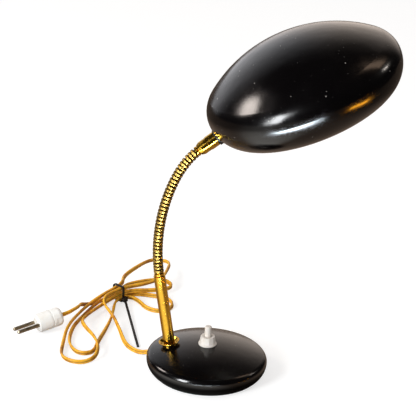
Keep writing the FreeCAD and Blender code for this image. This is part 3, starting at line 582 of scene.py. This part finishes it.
def golden_flex():
    """Aged see-through plastic over copper: gold on the ridges, brown in dirt, and painted shade
    darkening the valley between the cores
    """
    finish = Finish(
        "golden flex",
        GOLD[:3],
        0.36,
        **{"Subsurface Weight": 0.15, "Specular IOR Level": 0.35},
    )
    finish.shader.inputs["Subsurface Radius"].default_value = (0.003, 0.0016, 0.0004)
    finish.shader.inputs["Subsurface Scale"].default_value = 1.0
    round_it = finish.add("UVMap", uv_map="flex")
    split = finish.add("SeparateXYZ")
    finish.feed(split.inputs[0], round_it.outputs[0])
    twice = finish.maths("FRACT", finish.maths("MULTIPLY", split.outputs[0], 2.0))
    from_ridge = finish.maths("ABSOLUTE", finish.maths("SUBTRACT", twice, 0.5))
    valley = finish.between(from_ridge, 0.3, 0.5)
    dirt = finish.between(finish.noise(finish.place, 60.0, 5.0, 0.6), 0.45, 0.7)
    gold = finish.mix(dirt, GOLD, BROWNED_GOLD)
    # The valley between the cores is darkened: painted shade in the crease
    finish.colour(
        finish.mix(finish.maths("MULTIPLY", valley, 0.75), gold, PAINTED_VALLEY_SHADE)
    )
    finish.rough(finish.use("smudges", Scale=200.0, Clean=0.28, Dull=0.5))
    finish.relief(finish.use("relief", Scale=900.0, Amount=1.0), 0.00005)
    return finish.material


def opal_glass():
    """A white frosted bulb"""
    finish = Finish(
        "opal glass",
        (0.93, 0.92, 0.9),
        0.35,
        **{"Transmission Weight": 0.25, "IOR": 1.45},
    )
    finish.rough(finish.use("smudges", Scale=60.0, Clean=0.3, Dull=0.42))
    finish.colour(
        finish.mix(
            finish.noise(finish.place, 40.0), (0.95, 0.94, 0.92, 1), (0.9, 0.88, 0.84, 1)
        )
    )
    finish.relief(finish.use("relief", Scale=2500.0, Amount=1.0), 0.00002)
    return finish.material


RINGS_PER_LENGTH = 3


def ball_centres():
    """Where each neck length's ball sits, from the root to the tip"""
    places = {}
    for joint in frame["joints"]:
        if joint["name"].startswith(("neck_bend_", "neck_sway_")):
            places[int(joint["name"][-2:])] = Vector(joint["pos_m"])
    return [places[number] for number in sorted(places)]


def middle_of(node):
    """The middle of a node's box"""
    low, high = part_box(node)
    return (low + high) / 2


SHADE_MIDDLE = middle_of("shade_shell")


def dress():
    """Gives every carried-over node its finish"""
    ivory = moulded("ivory plastic", (0.76, 0.71, 0.66), (0.64, 0.55, 0.47), 0.28)
    white = moulded("white plastic", (0.86, 0.85, 0.82), (0.8, 0.76, 0.7), 0.26)
    brown = moulded("brown plastic", (0.06, 0.03, 0.02), (0.04, 0.02, 0.012), 0.25)
    porcelain = moulded("porcelain", (0.86, 0.85, 0.81), (0.8, 0.78, 0.72), 0.15)
    rubber = moulded("felt pad", (0.012, 0.03, 0.026), (0.02, 0.035, 0.03), 0.9)
    nylon = moulded("black nylon", (0.004, 0.004, 0.004), (0.007, 0.006, 0.006), 0.45)
    steel = worn_metal("steel", (0.55, 0.54, 0.52), (0.32, 0.3, 0.27), 0.32)
    iron = worn_metal("iron", (0.1, 0.1, 0.1), (0.12, 0.06, 0.03), 0.6)
    cap = worn_metal("cap metal", (0.72, 0.7, 0.66), (0.5, 0.46, 0.4), 0.3)
    pins = worn_metal("nickelled brass", (0.42, 0.35, 0.24), (0.26, 0.2, 0.12), 0.34)
    plain_brass = brass("brass")
    plain = {
        "base_shell": black_lacquer("black lacquer"),
        "foot_pad": rubber,
        "base_plate": steel,
        "ballast_weight": iron,
        "base_screws": steel,
        "cord_grommet": brown,
        "switch_body": ivory,
        "switch_nut": ivory,
        "switch_button": ivory,
        "switch_spring": steel,
        "switch_terminals": plain_brass,
        "stem_tube": plain_brass,
        "stem_collar": plain_brass,
        "stem_nipple": steel,
        "stem_washer": steel,
        "stem_nut": steel,
        "neck_root": plain_brass,
        "neck_tip": plain_brass,
        "neck_ferrule": plain_brass,
        "ferrule_washer": nylon,
        "shade_shell": black_lacquer("black shade lacquer", SHADE_MIDDLE),
        "shade_washer": steel,
        "shade_nipple": steel,
        "shade_nut": steel,
        "holder_cap": brown,
        "holder_shell": brown,
        "holder_insert": porcelain,
        "holder_contacts": plain_brass,
        "bulb_cap": cap,
        "bulb_glass": opal_glass(),
        "cable_tie": nylon,
        "plug_body": white,
        "plug_cap": white,
        "plug_pins": pins,
    }
    for node, material in plain.items():
        put_on(NODES[node], material)
    balls = ball_centres()
    for number, (start, end) in enumerate(zip(balls, balls[1:]), 1):
        way = (end - start).normalized()
        pitch = (end - start).length / RINGS_PER_LENGTH
        put_on(
            NODES[f"neck_length_{number:02d}"],
            brass(
                f"neck brass {number:02d}", NECK_BRASS, start, way, pitch, 0.42, 0.15
            ),
        )
    put_on(flex, golden_flex())


def put_on(thing, material):
    """Gives a piece one material all over"""
    if thing.data.materials:
        for index in range(len(thing.data.materials)):
            thing.data.materials[index] = material
    else:
        thing.data.materials.append(material)


dress()


# The table, the white surroundings and the lamps.

TABLE_HALF = 3.0
TABLE_WHITE = 0.66
REFLECTED_ROOM = (0.34, 0.25, 0.19, 1.0)
REFLECTED_WINDOW = (1.45, 1.4, 1.3, 1.0)
# Bright bars on the table that only reflections show: middle, way, half length and width, colour
LOW_LIGHTS = (
    ((0.157, -0.61, 0.0), (0.81, -0.58, 0.0), 0.38, 0.074, (62.0, 71.0, 78.0)),
    ((1.19, -0.335, 0.0), (0.31, 0.95, 0.0), 0.28, 0.13, (50.0, 21.0, 1.5)),
)
PALE_WALL = (-0.26, 0.94, 0.22)
DARK_ROOM = (0.015, 0.013, 0.013, 1.0)
PAPER_COOL = (0.88, 0.88, 0.92, 1.0)
PAPER_WARM = (1.0, 0.86, 0.76, 1.0)
AIR_LIGHT = (0.42, 0.42, 0.42, 1.0)
WHITE = (1.0, 1.0, 1.0, 1.0)
WINDOW_SIDE = (-0.342, -0.94, 0.0)


def bright_bar(finish, middle, way, half_length, half_width, colour):
    """The light of one soft-edged bar on the table"""
    offset = finish.vector("SUBTRACT", finish.place, middle)
    across = (-way[1], way[0], 0.0)
    masks = []
    for direction, reach in ((way, half_length), (across, half_width)):
        away = finish.maths(
            "ABSOLUTE", finish.vector("DOT_PRODUCT", offset, direction)
        )
        masks.append(finish.between(away, 0.75 * reach, 1.1 * reach, 1.0, 0.0))
    light = finish.vector("SCALE", colour)
    finish.feed(light.node.inputs["Scale"], finish.maths("MULTIPLY", *masks))
    return light


def make_table():
    """A pale floor, white to the eye but for the shadow; in reflections brighter to the window,
    with a painted shadow round the foot
    """
    body = bmesh.new()
    corners = ((-1, -1), (1, -1), (1, 1), (-1, 1))
    body.faces.new(
        [body.verts.new((x * TABLE_HALF, y * TABLE_HALF, 0.0)) for x, y in corners]
    )
    mesh = bpy.data.meshes.new("table")
    body.to_mesh(mesh)
    body.free()
    table = bpy.data.objects.new("table", mesh)
    bpy.context.scene.collection.objects.link(table)
    finish = Finish("white table", (0.5, 0.5, 0.5), 0.9)
    seen = finish.add("LightPath").outputs
    white = finish.add("Emission")
    finish.feed(
        white.inputs["Strength"],
        finish.maths("MULTIPLY", seen["Is Camera Ray"], TABLE_WHITE),
    )
    lit = finish.add("AddShader")
    finish.feed(lit.inputs[0], finish.shader.outputs[0])
    finish.feed(lit.inputs[1], white.outputs[0])
    level = finish.vector("MULTIPLY", finish.place, (1.0, 1.0, 0.0))
    towards_window = finish.vector(
        "DOT_PRODUCT", finish.vector("NORMALIZE", level), WINDOW_SIDE
    )
    distance = finish.vector("LENGTH", level)
    glow = finish.vector(
        "SCALE",
        finish.mix(
            finish.between(towards_window, 0.45, 1.0),
            REFLECTED_ROOM,
            REFLECTED_WINDOW,
        ),
    )
    # In reflections the table is painted dark close to the base, a painted shadow round the foot,
    # and it fades further out
    finish.feed(
        glow.node.inputs["Scale"],
        finish.maths(
            "MULTIPLY",
            finish.between(distance, 0.066, 0.09, 0.05, 1.1),
            finish.between(distance, 0.35, 0.8, 1.0, 0.3),
        ),
    )
    for bar in LOW_LIGHTS:
        glow = finish.vector("ADD", glow, bright_bar(finish, *bar))
    mirror = finish.add("Emission")
    finish.feed(mirror.inputs["Color"], glow)
    shown = finish.add("MixShader")
    finish.feed(
        shown.inputs[0],
        finish.maths("MAXIMUM", seen["Is Glossy Ray"], seen["Is Transmission Ray"]),
    )
    finish.feed(shown.inputs[1], lit.outputs[0])
    finish.feed(shown.inputs[2], mirror.outputs[0])
    finish.feed(
        finish.tree.nodes["Material Output"].inputs["Surface"], shown.outputs[0]
    )
    mesh.materials.append(finish.material)


def make_surroundings():
    """White to the eye; in reflections a dark room with one pale wall behind the lamp"""
    world = bpy.data.worlds.new("surroundings")
    bpy.context.scene.world = world
    world.use_nodes = True
    w = Wiring(world.node_tree)
    w.tree.nodes.clear()
    seen = w.add("LightPath").outputs
    way = w.add("TexCoord").outputs["Generated"]
    part_way = w.add("SeparateXYZ")
    w.feed(part_way.inputs[0], way)
    towards_wall = w.between(w.vector("DOT_PRODUCT", way, PALE_WALL), 0.66, 0.96)
    fading_up = w.between(part_way.outputs[2], -0.05, 1.0, 1.4, 0.1)
    paper = w.mix(
        w.between(part_way.outputs[0], -0.45, 0.0), PAPER_COOL, PAPER_WARM
    )
    wall = w.vector("SCALE", paper)
    w.feed(wall.node.inputs["Scale"], fading_up)
    room = w.mix(towards_wall, DARK_ROOM, wall)
    mirrored = w.maths("MAXIMUM", seen["Is Glossy Ray"], seen["Is Transmission Ray"])
    air = w.mix(mirrored, AIR_LIGHT, room)
    sky = w.add("Background")
    w.feed(sky.inputs["Color"], w.mix(seen["Is Camera Ray"], air, WHITE))
    w.feed(w.add("OutputWorld").inputs["Surface"], sky.outputs[0])


def lamp(name, place, size, radiance, colour, strip=None):
    """A soft lamp that faces the shade: a disk, or a strip of some width that runs one way"""
    light = bpy.data.lights.new(name, "AREA")
    light.size = size
    area = math.pi / 4 * size * size
    light.shape = "DISK"
    back = (Vector(place) - SHADE_MIDDLE).normalized()
    side = Vector((0.0, 0.0, 1.0)).cross(back)
    if strip is not None:
        run, light.size_y = strip
        light.shape = "RECTANGLE"
        area = size * light.size_y
        side = Vector(run) - back * back.dot(Vector(run))
    side.normalize()
    light.energy = radiance * math.pi * area
    light.color = colour
    holder = bpy.data.objects.new(name, light)
    turned = Matrix((side, back.cross(side), back)).transposed().to_4x4()
    holder.matrix_world = Matrix.Translation(place) @ turned
    bpy.context.scene.collection.objects.link(holder)


bpy.context.scene.view_settings.view_transform = "Standard"
make_table()
make_surroundings()
lamp(
    "left window",
    place=(-1.55, 0.2, 1.1),
    size=0.5,
    radiance=15,
    colour=(1.0, 0.9, 0.83),
)
lamp(
    "front window",
    place=(-1.08, -1.42, 0.72),
    size=0.5,
    radiance=25,
    colour=(0.95, 0.98, 1.0),
    strip=((-0.8, 0.6, 0.0), 0.95),
)
lamp(
    "brown ceiling",
    place=(0.85, 0.55, 1.62),
    size=0.9,
    radiance=2.6,
    colour=(1.0, 0.7, 0.5),
    strip=((1.09, 0.17, -0.81), 0.32),
)
lamp(
    "ceiling lamp",
    place=(1.52, 0.66, 1.15),
    size=0.14,
    radiance=30,
    colour=(1.0, 0.92, 0.84),
)
